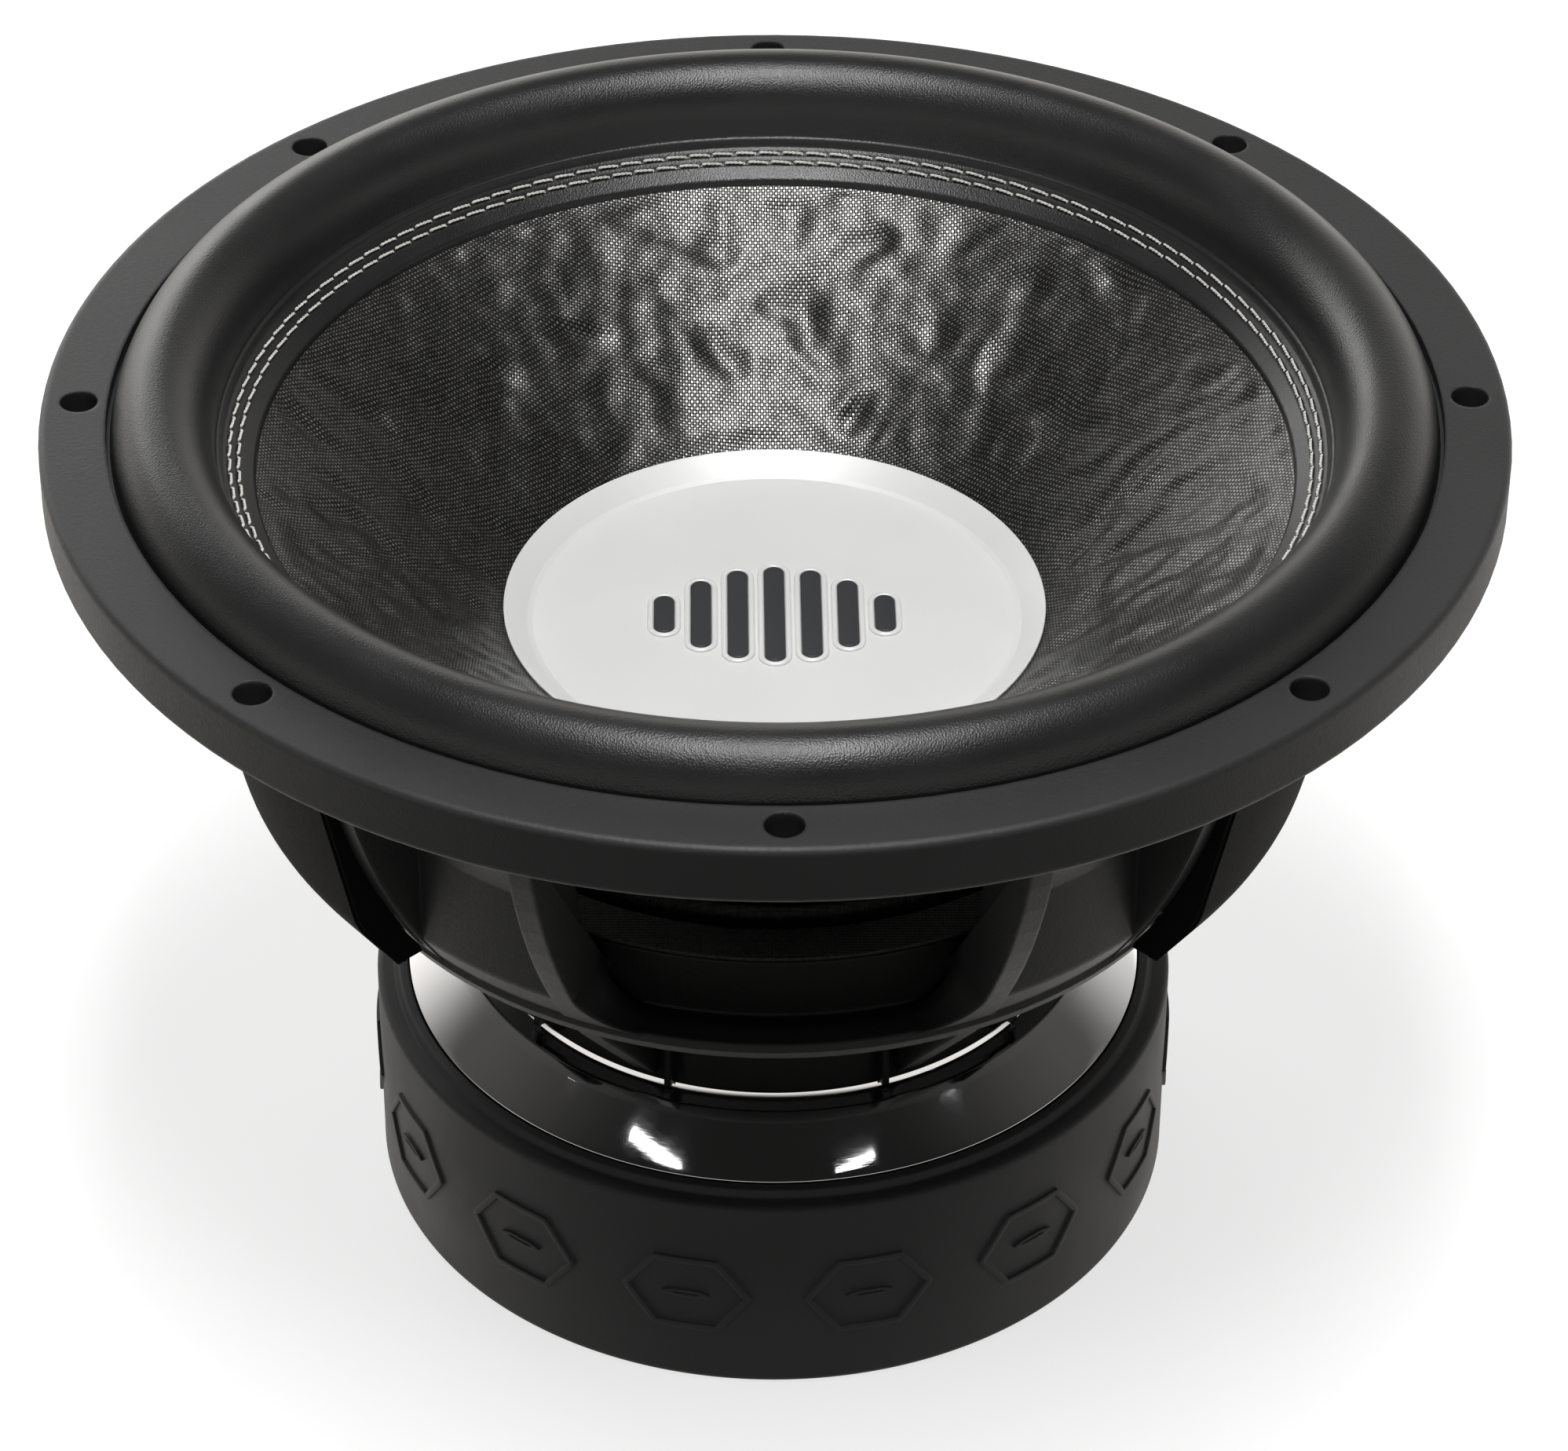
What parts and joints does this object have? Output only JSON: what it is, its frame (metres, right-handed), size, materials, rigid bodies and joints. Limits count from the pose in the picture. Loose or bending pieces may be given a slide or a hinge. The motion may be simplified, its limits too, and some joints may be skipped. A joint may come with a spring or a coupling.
{
  "type": "car subwoofer driver",
  "caption": "Round deep-cone bass driver with a cast spoked basket, stitched rubber surround, woven cone, chromed top plate, booted ferrite motor and push terminals.",
  "frame": {"origin": "centre of the magnet boot's bottom face, on the driver's axis", "axes": "+Z along the axis out of the cone, -Y towards the middle of the front basket window, X across"},
  "size_m": [0.318, 0.318, 0.2138],
  "materials": {
    "cast_basket": "fine matte charcoal powder coat",
    "surround_rubber": "satin black with a fine grain",
    "housing_plastic": "fine-textured black",
    "spider_cloth": "black resin-stiffened woven cotton",
    "cone_weave": "glossy black woven glass fibre, crumpled",
    "thread": "white two-ply thread",
    "cap_silver": "satin silver-white paint",
    "badge_grey": "satin dark grey",
    "former_aluminium": "anodised aluminium foil",
    "copper_wire": "enamelled copper wire",
    "plate_chrome": "mirror-polished chrome plating",
    "ferrite": "ground grey ferrite",
    "yoke_steel": "zinc-plated turned steel",
    "ring_aluminium": "turned aluminium",
    "screen_wire": "woven steel wire",
    "boot_rubber": "matte charcoal rubber",
    "black_oxide_steel": "black oxide",
    "terminal_plastic": "fine-textured black",
    "button_red": "glossy red",
    "button_black": "glossy black",
    "spring_wire": "bright steel wire",
    "contact_brass": "plated brass",
    "screw_zinc": "zinc plated",
    "lead_braid": "tinned copper braid"
  },
  "bodies": {
    "frame_and_motor": {"basket": "cast_basket", "side_panel_left": "housing_plastic", "side_panel_right": "housing_plastic", "surround": "surround_rubber", "spider": "spider_cloth", "top_plate": "plate_chrome", "magnet_upper": "ferrite", "magnet_lower": "ferrite", "yoke": "yoke_steel", "shorting_ring": "ring_aluminium", "vent_screen": "screen_wire", "magnet_boot": "boot_rubber", "plate_screws": "black_oxide_steel", "terminal_left": "terminal_plastic", "terminal_right": "terminal_plastic", "spring_left_red": "spring_wire", "spring_left_black": "spring_wire", "spring_right_red": "spring_wire", "spring_right_black": "spring_wire", "contacts_left": "contact_brass", "contacts_right": "contact_brass", "terminal_screws": "screw_zinc", "leads_left": "lead_braid", "leads_right": "lead_braid"},
    "cone_assembly": {"cone": "cone_weave", "stitch_outer": "thread", "stitch_inner": "thread", "dust_cap": "cap_silver", "cap_badge": "badge_grey", "coil_former": "former_aluminium", "coil_inner": "copper_wire", "coil_outer": "copper_wire"},
    "button_left_red_body": {"button_left_red": "button_red"},
    "button_left_black_body": {"button_left_black": "button_black"},
    "button_right_red_body": {"button_right_red": "button_red"},
    "button_right_black_body": {"button_right_black": "button_black"}
  },
  "joints": [
    {"name": "cone_stroke", "type": "slide", "parent": "frame_and_motor", "child": "cone_assembly", "axis": [0, 0, 1], "range_m": [-0.015, 0.015], "stiffness_N_per_m": 9000, "deforming": ["surround", "spider", "leads_left", "leads_right"]},
    {"name": "left_red_press", "type": "slide", "parent": "frame_and_motor", "child": "button_left_red_body", "axis": [0.9511, -0.309, 0], "range_m": [0, 0.003], "stiffness_N_per_m": 500, "springref_m": -0.001, "deforming": ["spring_left_red"]},
    {"name": "left_black_press", "type": "slide", "parent": "frame_and_motor", "child": "button_left_black_body", "axis": [0.9511, -0.309, 0], "range_m": [0, 0.003], "stiffness_N_per_m": 500, "springref_m": -0.001, "deforming": ["spring_left_black"]},
    {"name": "right_red_press", "type": "slide", "parent": "frame_and_motor", "child": "button_right_red_body", "axis": [-0.9511, -0.309, 0], "range_m": [0, 0.003], "stiffness_N_per_m": 500, "springref_m": -0.001, "deforming": ["spring_right_red"]},
    {"name": "right_black_press", "type": "slide", "parent": "frame_and_motor", "child": "button_right_black_body", "axis": [-0.9511, -0.309, 0], "range_m": [0, 0.003], "stiffness_N_per_m": 500, "springref_m": -0.001, "deforming": ["spring_right_black"]}
  ]
}
